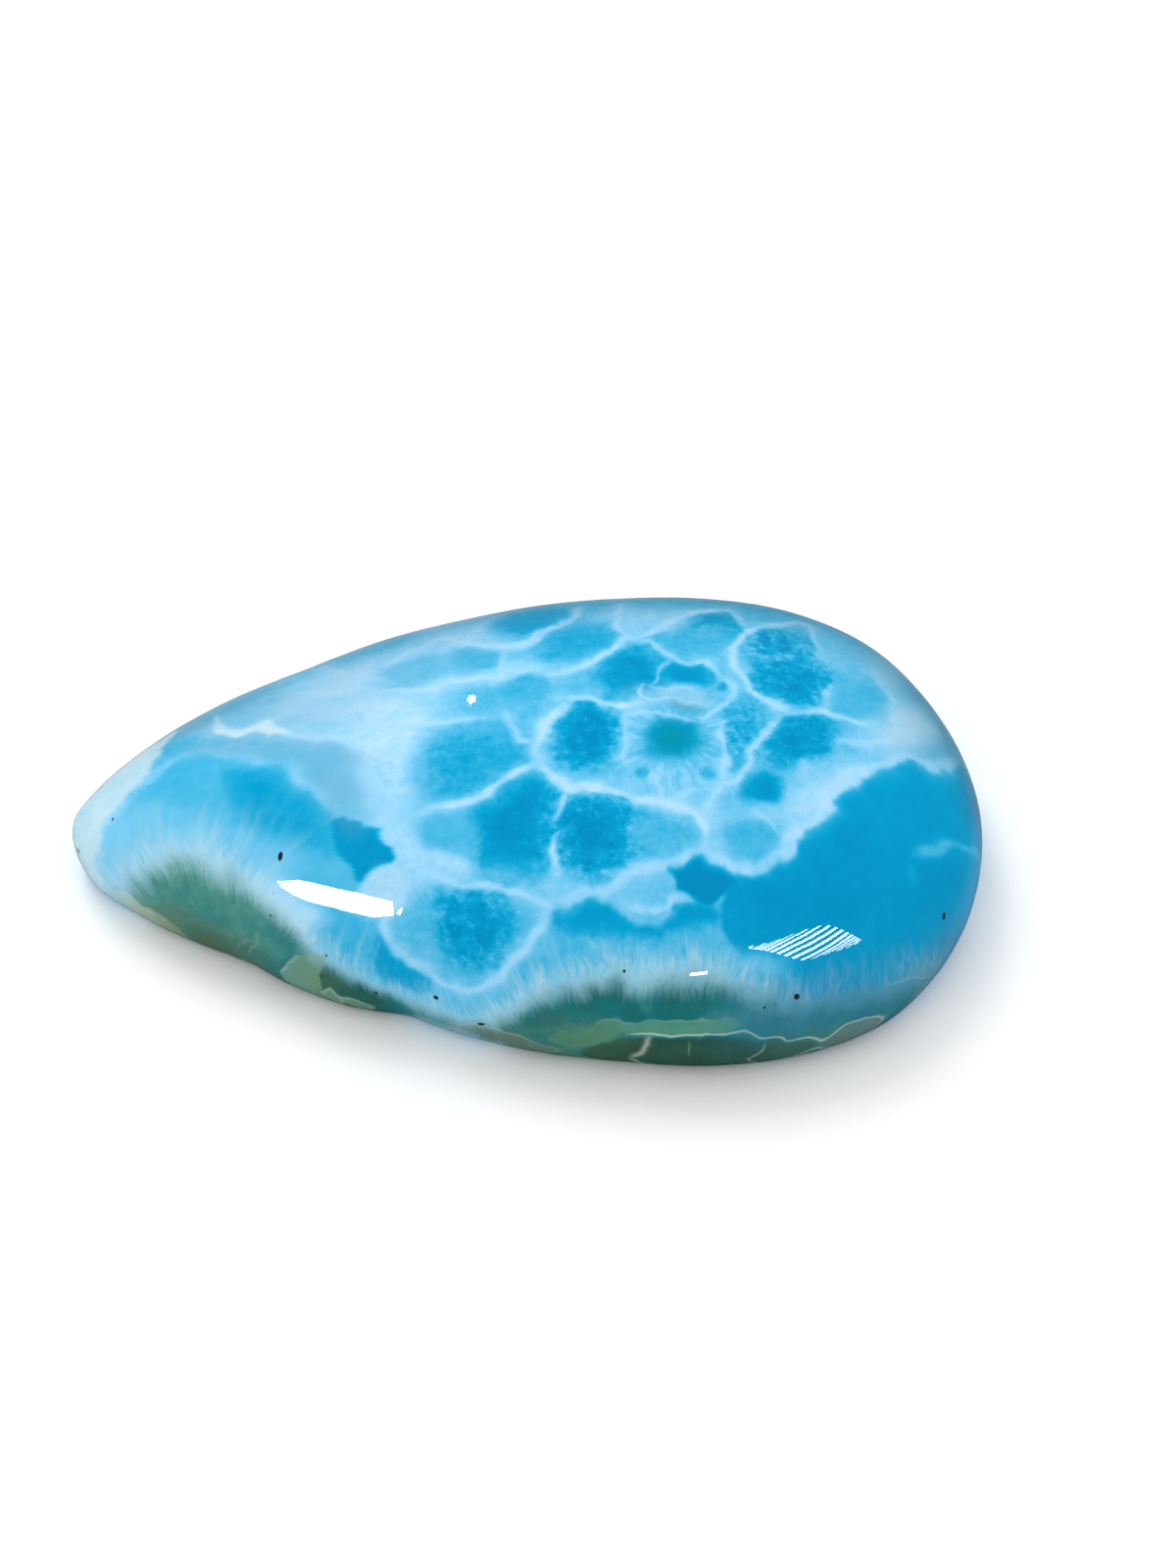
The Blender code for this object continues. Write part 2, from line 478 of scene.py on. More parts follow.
    def nearest(self, route, reach):
        """For the points within reach of a route: their indices, distance, length along it and side."""
        places = self.warped
        low, high = route.min(0) - reach, route.max(0) + reach
        chosen = np.nonzero(((places > low) & (places < high)).all(1))[0]
        spot = places[chosen]
        best = np.full(len(chosen), np.inf)
        along = np.zeros(len(chosen))
        side = np.ones(len(chosen))
        travelled = 0.0
        for start, end in zip(route, route[1:]):
            step = end - start
            length = math.hypot(*step)
            if length == 0:
                continue
            offset = spot - start
            share = np.clip(offset @ step / length**2, 0, 1)
            gap = np.hypot(*(offset - share[:, None] * step).T)
            closer = gap < best
            best = np.where(closer, gap, best)
            along = np.where(closer, travelled + share * length, along)
            left = step[0] * offset[:, 1] - step[1] * offset[:, 0]
            side = np.where(closer, np.where(left > 0, 1.0, -1.0), side)
            travelled += length
        return chosen, best, along, side

    def depth_inside(self, outline, reach):
        """Signed distance to a closed outline, positive inside, for the points within reach of it."""
        ring = np.vstack([outline, outline[:1]])
        chosen, gap, _, _ = self.nearest(ring, reach)
        spot = self.warped[chosen]
        inside = np.zeros(len(chosen), bool)
        for (x0, y0), (x1, y1) in zip(ring, ring[1:]):
            if y0 == y1:
                continue
            crosses = ((y0 > spot[:, 1]) != (y1 > spot[:, 1]))
            inside ^= crosses & (spot[:, 0] < (x1 - x0) * (spot[:, 1] - y0) / (y1 - y0) + x0)
        return chosen, np.where(inside, gap, -gap)

    def start(self, name, value=0.0):
        self.values[name] = np.full(len(self.places), float(value))

    def paint(self, name, chosen, mask, value):
        field = self.values[name]
        field[chosen] += (value - field[chosen]) * mask

    def region(self, pixels, soft, **paints):
        """Paints the inside of an outline; its edge is soft over that many millimetres."""
        outline = self.route(pixels, closed=True)
        chosen, depth = self.depth_inside(outline, soft * 2)
        mask = smooth_step(depth, -soft / 2, soft / 2)
        for name, value in paints.items():
            self.paint(name, chosen, mask, value)

    def cell(self, pixel, half_sizes, turn, soft, **paints):
        """Paints an oval patch that fades outwards over its soft share."""
        centre = self.place(pixel)
        angle = math.radians(turn)
        long_way = (half_sizes[0] * math.cos(angle), half_sizes[0] * math.sin(angle))
        short_way = (-half_sizes[1] * math.sin(angle), half_sizes[1] * math.cos(angle))
        axes = []
        for way in (long_way, short_way):
            ends = [self.place((pixel[0] + sign * way[0], pixel[1] + sign * way[1])) for sign in (1, -1)]
            axes.append((ends[0] - ends[1]) / 2)
        local = (self.warped - centre) @ np.linalg.inv(np.array(axes))
        spread = (np.abs(local) ** 2.4).sum(1) ** (1 / 2.4)
        chosen = np.nonzero(spread < 1 + 0.7 * soft)[0]
        mask = 1 - smooth_step(spread[chosen], 1 - soft, 1 + 0.7 * soft)
        for name, value in paints.items():
            self.paint(name, chosen, mask, value)

    def keep_depth(self, name, *outlines):
        """Keeps the signed distance inside the nearest outline, for the shader to draw a crisp edge."""
        self.start(name, -2)
        for pixels in outlines:
            chosen, depth = self.depth_inside(self.route(pixels, closed=True), 2)
            self.values[name][chosen] = np.maximum(self.values[name][chosen], np.clip(depth, -2, 2))

    def store(self):
        for name, field in self.values.items():
            layer = self.mesh.attributes.new(name, "FLOAT", "POINT")
            layer.data.foreach_set("value", field.astype(np.float32))


# Where each marking lies on the photographed side, in pixels of the photograph
GREEN_TOP = ((84, 940), (106, 926), (124, 912), (135, 899), (152, 886), (175, 879), (201, 882), (226, 893),
             (252, 907), (270, 922), (288, 939), (303, 955), (312, 968), (324, 978), (342, 985), (367, 998),
             (400, 1014), (440, 1031), (480, 1044), (505, 1041), (532, 1029), (553, 1021), (575, 1014),
             (597, 1008), (618, 1003), (660, 1003), (705, 1000), (733, 1005), (758, 1012), (775, 1019),
             (800, 1023), (840, 1024), (875, 1020), (905, 1011), (935, 1000), (965, 984), (990, 962))
LEFT_LOBE = ((104, 862), (118, 836), (134, 818), (152, 802), (173, 779), (188, 772), (207, 770), (229, 774),
             (255, 779), (281, 783), (292, 789), (303, 804), (316, 811), (332, 819), (345, 832), (352, 874),
             (366, 905), (362, 960), (330, 1000), (270, 960), (200, 910), (119, 915), (106, 895))
LOBE_DEPTH = ((236, 788), (281, 792), (303, 812), (335, 828), (344, 868), (305, 864), (262, 842), (238, 812))
DEEP_PATCH = ((342, 841), (351, 836), (364, 834), (379, 841), (394, 845), (392, 850), (405, 874), (381, 887), (366, 900),
              (352, 874))
RIGHT_FIELD = ((977, 778), (957, 788), (945, 780), (927, 776), (913, 782), (898, 787), (874, 795), (864, 808),
               (852, 815), (852, 827), (842, 839), (828, 847), (814, 855), (810, 870), (782, 886), (753, 892),
               (746, 912), (738, 940), (748, 962), (775, 990), (800, 1022), (870, 1032), (950, 1010), (1000, 940),
               (1004, 850), (996, 800))
DARK_RHOMBUS = ((719, 871), (751, 895), (732, 920), (705, 915), (681, 890), (700, 880))
CAVITY = ((560, 930), (575, 927), (597, 914), (623, 911), (636, 934), (666, 944), (684, 940), (700, 925), (730, 925),
          (738, 938), (700, 950), (640, 954), (590, 950), (558, 946))
LOWER_BAND = ((330, 940), (400, 970), (450, 1015), (500, 1015), (560, 960), (700, 955), (742, 965), (770, 1000),
              (790, 1035), (700, 1030), (600, 1012), (480, 1045), (400, 1022), (330, 1000))
NOTCH = ((391, 955), (398, 970), (416, 981), (444, 1003), (438, 1012), (408, 1006), (390, 996), (383, 972))
WHITE_STREAK = ((220, 729), (226, 738), (244, 743), (262, 738), (276, 736), (286, 742), (298, 748), (280, 749),
                (262, 746), (244, 751), (226, 746))
STEEL_FOLD = ((292, 756), (345, 755), (358, 775), (372, 803), (390, 830), (345, 836), (335, 815), (318, 803),
              (300, 783))
CORNER_CLOUD = ((378, 890), (398, 882), (412, 890), (408, 928), (385, 935), (360, 925))
CAVITY_LOBE = ((600, 908), (640, 896), (679, 889), (694, 900), (690, 924), (684, 938), (653, 937), (632, 929),
               (618, 915))

# Cells of the network: centre, half sizes, turn in degrees, softness, blue, mottling
CELLS = (
    ((527, 833), (42, 47), -8, 0.30, 1.00, 0.25),
    ((602, 846), (45, 38), 5, 0.32, 0.95, 0.8),
    ((600, 747), (29, 32), 0, 0.30, 0.96, 0.8),
    ((486, 774), (50, 35), -8, 0.45, 0.70, 0.2),
    ((648, 683), (38, 24), -12, 0.32, 0.92, 0.3),
    ((702, 686), (30, 12), 6, 0.32, 0.92, 0.2),
    ((731, 636), (25, 13), 8, 0.40, 0.86, 0.4),
    ((700, 654), (38, 13), -10, 0.5, 0.55, 0.2),
    ((588, 653), (36, 14), -12, 0.5, 0.68, 0.1),
    ((546, 634), (38, 13), -8, 0.45, 0.82, 0.1),
    ((484, 672), (26, 10), -5, 0.5, 0.58, 0.1),
    ((418, 686), (32, 12), -12, 0.5, 0.52, 0.1),
    ((536, 700), (21, 10), -6, 0.5, 0.60, 0.1),
    ((797, 657), (33, 15), 6, 0.4, 0.78, 0.8),
    ((809, 694), (40, 20), 5, 0.35, 0.94, 0.7),
    ((812, 751), (33, 22), -20, 0.4, 0.93, 0.6),
    ((878, 716), (28, 21), 8, 0.4, 0.56, 0.1),
    ((779, 804), (20, 14), 0, 0.4, 0.93, 0.1),
    ((772, 856), (27, 16), 0, 0.5, 0.56, 0.1),
    ((457, 852), (25, 17), 0, 0.5, 0.50, 0.1),
    ((484, 944), (33, 38), 0, 0.50, 0.92, 0.7),
    ((758, 744), (20, 32), 0, 0.5, 0.66, 0.6),
    ((722, 789), (7, 5), 30, 0.5, 0.62, 0.0),
    ((658, 787), (6, 4), -30, 0.5, 0.66, 0.0),
    ((749, 778), (5, 9), 0, 0.5, 0.68, 0.1),
    ((738, 701), (4, 5), 0, 0.5, 0.80, 0.0),
    ((680, 850), (34, 18), 12, 0.6, 0.54, 0.2),
)
EYE = (685, 753)
EYE_HALF_SIZES = (24, 17)

# Pale walls between the cells: width in millimetres, strength, and the way they run
WALLS = (
    (0.20, 0.85, ((392, 680), (428, 661), (450, 653), (482, 657), (513, 659), (535, 657), (550, 648), (567, 639),
                  (584, 629), (586, 620))),
    (0.14, 0.6, ((513, 659), (513, 673), (512, 690))),
    (0.18, 0.8, ((380, 707), (404, 704), (428, 705), (453, 699), (477, 693), (496, 691), (513, 691))),
    (0.19, 0.9, ((562, 690), (588, 681), (608, 670), (622, 661), (639, 650), (649, 652))),
    (0.19, 0.9, ((639, 650), (631, 641), (628, 629), (632, 617))),
    (0.18, 0.9, ((649, 652), (664, 647), (678, 636), (693, 628), (712, 624), (739, 622), (749, 626), (759, 639))),
    (0.17, 0.8, ((649, 652), (666, 661), (685, 669), (702, 675), (719, 675), (731, 682), (736, 694))),
    (0.19, 0.9, ((569, 713), (584, 713), (603, 714), (615, 719), (632, 721), (654, 719))),
    (0.22, 1.0, ((579, 716), (567, 728), (557, 743), (550, 755), (546, 767), (546, 779))),
    (0.16, 0.7, ((550, 755), (528, 753), (520, 736), (513, 725))),
    (0.21, 1.0, ((546, 779), (530, 789), (516, 797), (501, 805), (489, 812), (477, 816), (453, 821), (440, 824))),
    (0.21, 1.0, ((546, 779), (562, 791), (579, 801), (598, 802), (622, 806), (647, 811), (666, 816), (690, 822),
                 (707, 830), (719, 840), (722, 850), (722, 860))),
    (0.16, 1.0, ((579, 801), (575, 812), (570, 824), (566, 833))),
    (0.16, 1.0, ((570, 850), (565, 862), (562, 876), (568, 892))),
    (0.16, 0.9, ((775, 640), (765, 642), (753, 653), (746, 661), (749, 677), (759, 687), (765, 699), (775, 709),
                 (789, 717), (807, 725))),
    (0.15, 0.8, ((775, 640), (790, 638), (811, 636), (826, 640), (830, 651), (838, 667))),
    (0.14, 0.6, ((846, 699), (846, 711), (841, 723))),
    (0.16, 0.8, ((807, 725), (826, 724), (841, 724), (858, 732), (878, 739), (898, 738))),
    (0.15, 0.8, ((799, 728), (787, 744), (775, 760), (765, 772), (757, 784), (753, 796), (739, 802), (728, 810),
                 (718, 827))),
    (0.14, 0.7, ((736, 738), (738, 768), (736, 794))),
    (0.14, 0.7, ((738, 690), (748, 700), (748, 711), (738, 722), (727, 728), (716, 734))),
    (0.14, 0.60, ((637, 731), (639, 755), (641, 779))),
    (0.12, 0.7, ((684, 672), (676, 681), (669, 693), (663, 701))),
    (0.10, 0.8, ((655, 700), (652, 708), (661, 714), (684, 715), (703, 717), (722, 721))),
    (0.08, 0.7, ((664, 701), (684, 705), (700, 704), (714, 708))),
    (0.10, 0.7, ((635, 731), (655, 728), (677, 731), (698, 734), (712, 739))),
    (0.13, 0.6, ((668, 789), (671, 806), (674, 814), (690, 812), (707, 806))),
    (0.13, 0.6, ((823, 774), (826, 792))),
    (0.14, 0.6, ((852, 758), (864, 757), (878, 758), (906, 756), (941, 743))),
    (0.14, 0.6, ((894, 687), (910, 711), (913, 726))),
    (0.13, 0.6, ((769, 823), (773, 833), (789, 843), (797, 855))),
    (0.14, 0.8, ((425, 894), (445, 897), (462, 897), (475, 901), (493, 903), (510, 909), (532, 915), (549, 924),
                 (560, 928))),
    (0.17, 0.7, ((412, 902), (410, 918), (397, 937), (396, 950), (399, 967), (410, 974), (425, 985), (445, 1000),
                 (462, 1006), (475, 1012), (486, 1008), (501, 998), (514, 987), (527, 976), (540, 963), (549, 948),
                 (553, 935))),
    (0.14, 0.7, ((636, 918), (662, 924), (684, 926), (690, 920), (705, 920))),
    (0.18, 0.22, ((926, 876), (929, 888), (933, 900))),
    (0.22, 0.38, ((929, 874), (951, 868), (975, 864), (1000, 876))),
    (0.14, 0.7, ((297, 746), (309, 743), (320, 747), (340, 752), (357, 750), (385, 742), (416, 738), (450, 737),
                 (477, 733), (491, 731))),
    (0.16, 0.6, ((327, 682), (360, 690), (400, 697))),
)

# The cloud's bright edge against the azure, and the white streak over the tip
BRIGHT_EDGES = (
    (0.25, 0.35, ((658, 975), (660, 990), (661, 1010), (662, 1037))),
    (0.31, 0.8, ((977, 776), (957, 785), (945, 777), (927, 772), (913, 778), (898, 783), (874, 790), (860, 803),
                 (846, 812), (846, 824), (836, 834), (822, 842), (807, 850), (803, 865), (778, 880), (753, 884),
                 (737, 880), (720, 866))),
    (0.25, 0.7, ((560, 925), (575, 922), (597, 908), (623, 903), (640, 894), (660, 887), (679, 885), (694, 881),
                 (705, 872), (720, 866))),
    (0.24, 0.90, ((219, 728), (223, 739), (238, 745), (255, 744), (272, 739), (285, 743), (300, 749), (320, 751),
                  (340, 754), (356, 750))),
    (0.30, 0.55, ((345, 752), (354, 760), (362, 778), (376, 805), (392, 828), (402, 845))),
    (0.20, 0.35, ((296, 778), (306, 792), (322, 806), (338, 822))),
    (0.32, 0.38, ((100, 846), (116, 827), (132, 807), (153, 792), (173, 777), (190, 769), (207, 766), (229, 771),
                 (255, 775), (281, 777))),
)

# Thin cream seams in the green, dealt in turn to groups that don't touch: width in millimetres, strength, and the way they run
SEAM_GROUPS = 3
SEAM_REACH = 0.9                        # a seam is drawn within this distance of its route, in millimetres
SEAMS = (
    (0.05, 0.20, ((600, 1049), (612, 1043), (640, 1042), (662, 1039), (688, 1038), (735, 1038))),
    (0.06, 0.95, ((640, 1057), (657, 1055), (684, 1056), (705, 1055), (737, 1057), (765, 1056), (798, 1059),
                  (839, 1058), (863, 1047), (884, 1039), (922, 1035), (940, 1028))),
    (0.17, 0.62, ((667, 1055), (660, 1065), (651, 1075), (640, 1081))),
    (0.06, 0.16, ((256, 978), (258, 964), (266, 952))),
    (0.05, 0.30, ((462, 1046), (493, 1046), (519, 1053), (540, 1059), (575, 1074))),
    (0.07, 0.45, ((781, 1061), (778, 1071), (762, 1080), (746, 1086))),
    (0.06, 0.45, ((330, 1018), (337, 1012), (345, 1013), (349, 1019), (367, 1022), (388, 1029))),
    (0.06, 0.14, ((240, 969), (247, 963), (254, 957))),
    (0.06, 0.45, ((286, 995), (297, 983), (306, 976))),
    (0.06, 0.35, ((129, 913), (152, 930), (174, 944), (186, 953))),
    (0.06, 0.50, ((904, 1004), (933, 998), (955, 999))),
    (0.05, 0.25, ((705, 1060), (702, 1070), (699, 1080))),
)

# Black specks: place, half sizes in millimetres
SPECKS = (
    ((286, 874), (0.14, 0.22)), ((445, 1018), (0.17, 0.12)), ((813, 1017), (0.15, 0.15)), ((963, 935), (0.13, 0.22)),
    ((80, 868), (0.18, 0.16)), ((276, 934), (0.06, 0.06)), ((333, 975), (0.06, 0.07)), ((384, 1013), (0.07, 0.09)),
    ((637, 991), (0.07, 0.08)), ((780, 1028), (0.06, 0.06)), ((115, 836), (0.07, 0.08)), ((491, 1045), (0.26, 0.08)),
    ((328, 996), (0.05, 0.05)),
)

# Tones of the green, from pale sage (0) to the darkest (1): centre, half sizes, turn, tone
GREEN_TONES = (
    ((200, 906), (90, 20), 20, 0.44),
    ((160, 915), (30, 14), 30, 0.44),
    ((225, 955), (60, 16), 25, 0.48),
    ((270, 985), (60, 9), 25, 0.60),
    ((300, 955), (30, 22), 40, 0.54),
    ((350, 1008), (60, 14), 22, 0.76),
    ((645, 1020), (110, 24), 0, 0.66),
    ((850, 1040), (90, 14), -15, 0.60),
    ((890, 1052), (70, 10), -24, 0.74),
    ((500, 1058), (60, 14), 10, 0.56),
    ((560, 1040), (40, 10), 0, 0.62),
    ((661, 1010), (12, 24), 0, 0.51),
    ((225, 969), (34, 5), 27, 0.80),
)
# Where the green turns to olive: centre, half sizes, turn, share
OLIVES = (
    ((215, 958), (70, 15), 27, 0.65),
    ((300, 1008), (44, 12), 22, 0.75),
    ((330, 1000), (26, 16), 20, 0.40),
    ((598, 1068), (54, 13), 8, 0.50),
    ((520, 1060), (50, 12), 14, 0.40),
    ((720, 1078), (110, 8), 0, 0.15),
    ((830, 1066), (50, 10), -12, 0.45),
)

# Patches of the tip's pale rind and of greyed blue: centre, half sizes, turn, softness, share
RIND_OUTLINE = ((60, 860), (72, 812), (112, 768), (145, 740), (172, 727), (178, 742), (172, 756), (162, 772),
                (148, 795), (125, 818), (108, 842), (103, 870), (106, 905), (124, 926), (90, 940), (62, 900))
GREYED = (
    ((262, 764), (95, 11), 1, 0.6, 0.55),
    ((335, 768), (32, 12), 8, 0.7, 0.8),
    ((240, 722), (50, 15), -20, 0.8, 0.7),
    ((198, 740), (26, 11), -25, 0.5, 0.8),
    ((340, 795), (46, 22), 45, 0.8, 0.55),
    ((318, 765), (34, 10), 2, 0.8, 0.50),
    ((320, 715), (80, 26), -15, 0.9, 0.35),
    ((957, 758), (28, 26), 30, 0.8, 0.7),
    ((920, 700), (26, 50), -40, 0.8, 0.35),
)
# Painted shade: darker bands along the dome's far and near rim, standing in for the shade where the dome turns away;
# width in millimetres, share, and the way it runs
PAINTED_RIM_SHADE = (
    (2.2, 0.26, ((186, 742), (200, 734), (230, 720), (256, 709))),
    (2.4, 0.40, ((365, 666), (380, 661), (410, 651))),
    (2.6, 0.42, ((470, 637), (500, 630), (560, 621), (620, 616), (680, 615), (740, 617), (800, 628), (850, 644),
                 (900, 672), (940, 709))),
    (1.9, 0.68, ((950, 722), (970, 752), (990, 795), (1001, 840), (1002, 900), (992, 938), (972, 972))),
    (1.6, 0.60, ((770, 1040), (830, 1034), (890, 1020), (935, 1000), (965, 972))),
)
# Paler places where light blue shows through: centre, half sizes, turn, softness, blue
PALE_PLACES = (
    ((405, 752), (62, 84), -25, 0.8, 0.06),
    ((375, 692), (90, 26), -15, 0.8, 0.12),
    ((474, 648), (66, 15), -14, 0.8, 0.16),
    ((528, 684), (44, 13), -8, 0.8, 0.16),
    ((640, 632), (50, 14), -5, 0.8, 0.22),
    ((335, 800), (40, 30), 35, 0.7, 0.32),
    ((432, 868), (46, 30), 20, 0.8, 0.16),
    ((478, 886), (44, 14), 8, 0.8, 0.10),
    ((690, 790), (60, 16), 0, 0.8, 0.34),
    ((725, 850), (46, 40), 15, 0.8, 0.30),
    ((830, 818), (54, 28), -35, 0.8, 0.18),
    ((925, 742), (44, 26), -15, 0.8, 0.12),
    ((900, 694), (26, 34), -20, 0.8, 0.30),
    ((620, 895), (60, 14), -8, 0.8, 0.26),
    ((858, 672), (36, 24), 30, 0.8, 0.40),
)
# Whitish veil over the blue: centre, half sizes, turn, softness, share
VEILS = (
    ((684, 712), (44, 12), 2, 0.8, 0.35),
    ((318, 716), (80, 26), -16, 0.9, 0.65),
    ((410, 690), (80, 20), -14, 0.9, 0.25),
    ((934, 738), (36, 22), -20, 0.9, 0.7),
    ((912, 690), (26, 34), -35, 0.9, 0.35),
    ((240, 742), (60, 10), -4, 0.8, 0.5),
    ((400, 905), (20, 22), 0, 0.8, 0.3),
)
DARK_BASE = ((560, 1078), (600, 1070), (640, 1062), (700, 1059), (800, 1062), (839, 1062), (900, 1052), (940, 1036),
             (965, 1020), (975, 1030), (900, 1080), (700, 1100), (560, 1092))
# Flat layers in the green, each with a crisp edge: name, share of its colour, colour, outlines
LAYERS = (
    ("pale_lobes", 0.55, (128, 168, 142), (
        ((288, 996), (297, 984), (306, 977), (320, 974), (331, 976), (331, 1008), (318, 1012)),
        ((328, 1020), (337, 1012), (346, 1013), (352, 1019), (370, 1022), (390, 1029), (370, 1036), (340, 1030)))),
    ("sage_band", 0.62, (90, 152, 124), (
        ((560, 1062), (575, 1052), (588, 1055), (600, 1049), (612, 1043), (640, 1042), (662, 1039), (688, 1037),
         (735, 1037), (752, 1042), (758, 1050), (737, 1056), (705, 1055), (684, 1056), (657, 1055), (636, 1056),
         (623, 1062), (600, 1070)),)),
    ("beige_band", 0.75, (112, 128, 128), (
        ((828, 1060), (846, 1054), (863, 1046), (884, 1038), (908, 1034), (925, 1031), (950, 1020), (952, 1030),
         (925, 1042), (900, 1050), (865, 1060)),
        ((456, 1042), (480, 1041), (505, 1046), (530, 1054), (552, 1064), (575, 1076), (540, 1072), (500, 1064),
         (470, 1056)))),
    ("rind_edge", 0.85, (172, 190, 164), (
        ((76, 884), (100, 886), (118, 902), (140, 919), (160, 931), (178, 943), (188, 954), (160, 950), (120, 934),
         (90, 912)),)),
)
# How white the fringe over the green is: centre, half sizes, turn, softness, share
FROST = (
    ((118, 888), (26, 30), 0, 0.9, 0.60),
    ((210, 880), (100, 30), 15, 0.8, 0.80),
    ((300, 930), (40, 44), 40, 0.8, 0.95),
    ((400, 1000), (70, 24), 25, 0.8, 0.50),
    ((408, 984), (34, 20), 30, 0.7, 0.05),
    ((520, 1020), (40, 24), -10, 0.8, 0.70),
    ((640, 990), (130, 30), 0, 0.8, 0.68),
    ((885, 1008), (110, 34), -15, 0.8, 0.34),
    ((885, 998), (50, 18), -15, 0.8, 0.10),
)
# Pale rays over the green: centre, half sizes, turn, softness, share
RAYS = (
    ((205, 858), (105, 34), 6, 0.8, 0.50),
    ((350, 966), (34, 30), 20, 0.8, 0.60),
    ((540, 1000), (60, 34), -15, 0.8, 0.45),
    ((660, 975), (120, 18), 0, 0.8, 0.25),
    ((870, 1000), (100, 20), -16, 0.8, 0.12),
)
# What the ground back has in place of the dome's own markings; the green border runs through to it
BACK_VALUES = {"hidden": 1.0, "mottle": 0.3, "cloud": 0.5, "haze": 0.0, "eye": 0.0, "rays": 0.0, "rind": 0.0}
BACK_VALUES.update({f"seam_strength_{group}": 0.0 for group in range(SEAM_GROUPS)})
BACK_VALUES.update({name: -2.0 for name, _, _, _ in LAYERS})


def paint_blues(chart):
    """The blue of the stone, from pale (0) to deep azure (1), region by region."""
    chart.start("blue", 0.52)
    chart.start("mottle", 0.15)
    chart.start("cloud", 1.0)
    for pixel, half_sizes, turn, soft, blue in PALE_PLACES:
        chart.cell(pixel, half_sizes, turn, soft, blue=blue)
    chart.region(STEEL_FOLD, 1.0, blue=0.34, cloud=0.3)
    chart.region(LEFT_LOBE, 0.35, blue=0.54, mottle=0.0, cloud=0.05)
    chart.cell((125, 880), (70, 60), -35, 0.9, blue=0.24)
    chart.cell((205, 870), (110, 44), 8, 0.9, blue=0.34)
    chart.region(LOBE_DEPTH, 1.4, blue=0.74)
    chart.cell((302, 926), (48, 18), 42, 0.8, blue=0.10)
    for width, strength, pixels in WALLS:
        chosen, gap, _, _ = chart.nearest(chart.route(pixels), 2.2)
        chart.paint("blue", chosen, strength * 0.50 * np.exp(-(gap / 0.62) ** 2), 0.20)
    chart.region(RIGHT_FIELD, 0.28, blue=0.86, mottle=0.0, cloud=0.05)
    chart.cell((860, 900), (90, 60), -20, 0.9, blue=0.93)
    chart.cell((778, 982), (34, 14), 10, 0.8, blue=0.46)
    chart.region(LOWER_BAND, 1.2, blue=0.56, cloud=0.3)
    chart.region(NOTCH, 0.5, blue=0.84)
    chart.region(CAVITY, 1.0, blue=0.88, mottle=0.1, cloud=0.1)
    chart.region(DARK_RHOMBUS, 0.25, blue=1.05, mottle=0.2, cloud=0.0)
    chart.region(DEEP_PATCH, 0.25, blue=0.94, cloud=0.0)
    chart.region(CORNER_CLOUD, 0.6, blue=0.16)
    chart.region(CAVITY_LOBE, 0.35, blue=0.42)
    for pixel, half_sizes, turn, soft, blue, mottle in CELLS:
        wide = tuple(size * 1.2 for size in half_sizes)
        chart.cell(pixel, wide, turn, 0.5, mottle=mottle, cloud=0.2)
        chart.cell(pixel, wide, turn, 0.5, blue=0.35 * blue + 0.33)
        chart.cell(pixel, half_sizes, turn, soft + 0.35, blue=blue)
    chart.cell(EYE, (50, 31), 0, 0.4, blue=0.36, mottle=0.3)
    chart.start("eye")
    chart.cell(EYE, (34, 24), 0, 0.8, blue=0.62, mottle=0.1)
    chart.cell(EYE, EYE_HALF_SIZES, 0, 0.9, blue=0.92, eye=1.0)
    chart.cell((701, 722), (20, 6), 8, 0.9, blue=0.55, eye=0.5)
    chart.start("rind")
    chart.region(RIND_OUTLINE, 0.9, rind=0.85)
    chart.region(WHITE_STREAK, 0.8, rind=1.0)
    chart.start("haze")
    chart.cell((310, 725), (130, 44), -18, 0.8, haze=1.0)
    chart.start("grey")
    for pixel, half_sizes, turn, soft, share in GREYED:
        chart.cell(pixel, half_sizes, turn, soft, grey=share)
    chart.start("veil")
    for pixel, half_sizes, turn, soft, share in VEILS:
        chart.cell(pixel, half_sizes, turn, soft, veil=share)
    # Painted shade along the rim: darkest on each route, fading over its width
    chart.start("painted_rim_shade")
    for width, share, pixels in PAINTED_RIM_SHADE:
        chosen, gap, _, _ = chart.nearest(chart.route(pixels), 2 * width)
        chart.paint("painted_rim_shade", chosen, np.exp(-(gap / width) ** 2), share)


def paint_walls(chart):
    """The pale walls of the cells, each with a soft glow round a brighter core."""
    chart.start("wall")
    patchy = chart_noise(chart.places, 1.1, 53)
    for width, strength, pixels in WALLS + BRIGHT_EDGES:
        route = chart.route(pixels)
        chosen, gap, along, _ = chart.nearest(route, width * 5)
        length = np.hypot(*np.diff(route, axis=0).T).sum()
        taper = 0.6 + 0.4 * smooth_step(np.minimum(along, length - along), 0, 0.9)
        swell = width * (1 + 0.3 * patchy[chosen])
        core = np.exp(-(gap / swell) ** 2) + 0.3 * np.exp(-(gap / (2.4 * swell)) ** 2)
        glow = strength * taper * (0.98 + 0.2 * patchy[chosen]) * np.minimum(1, core)
        chart.values["wall"][chosen] = np.maximum(chart.values["wall"][chosen], glow)


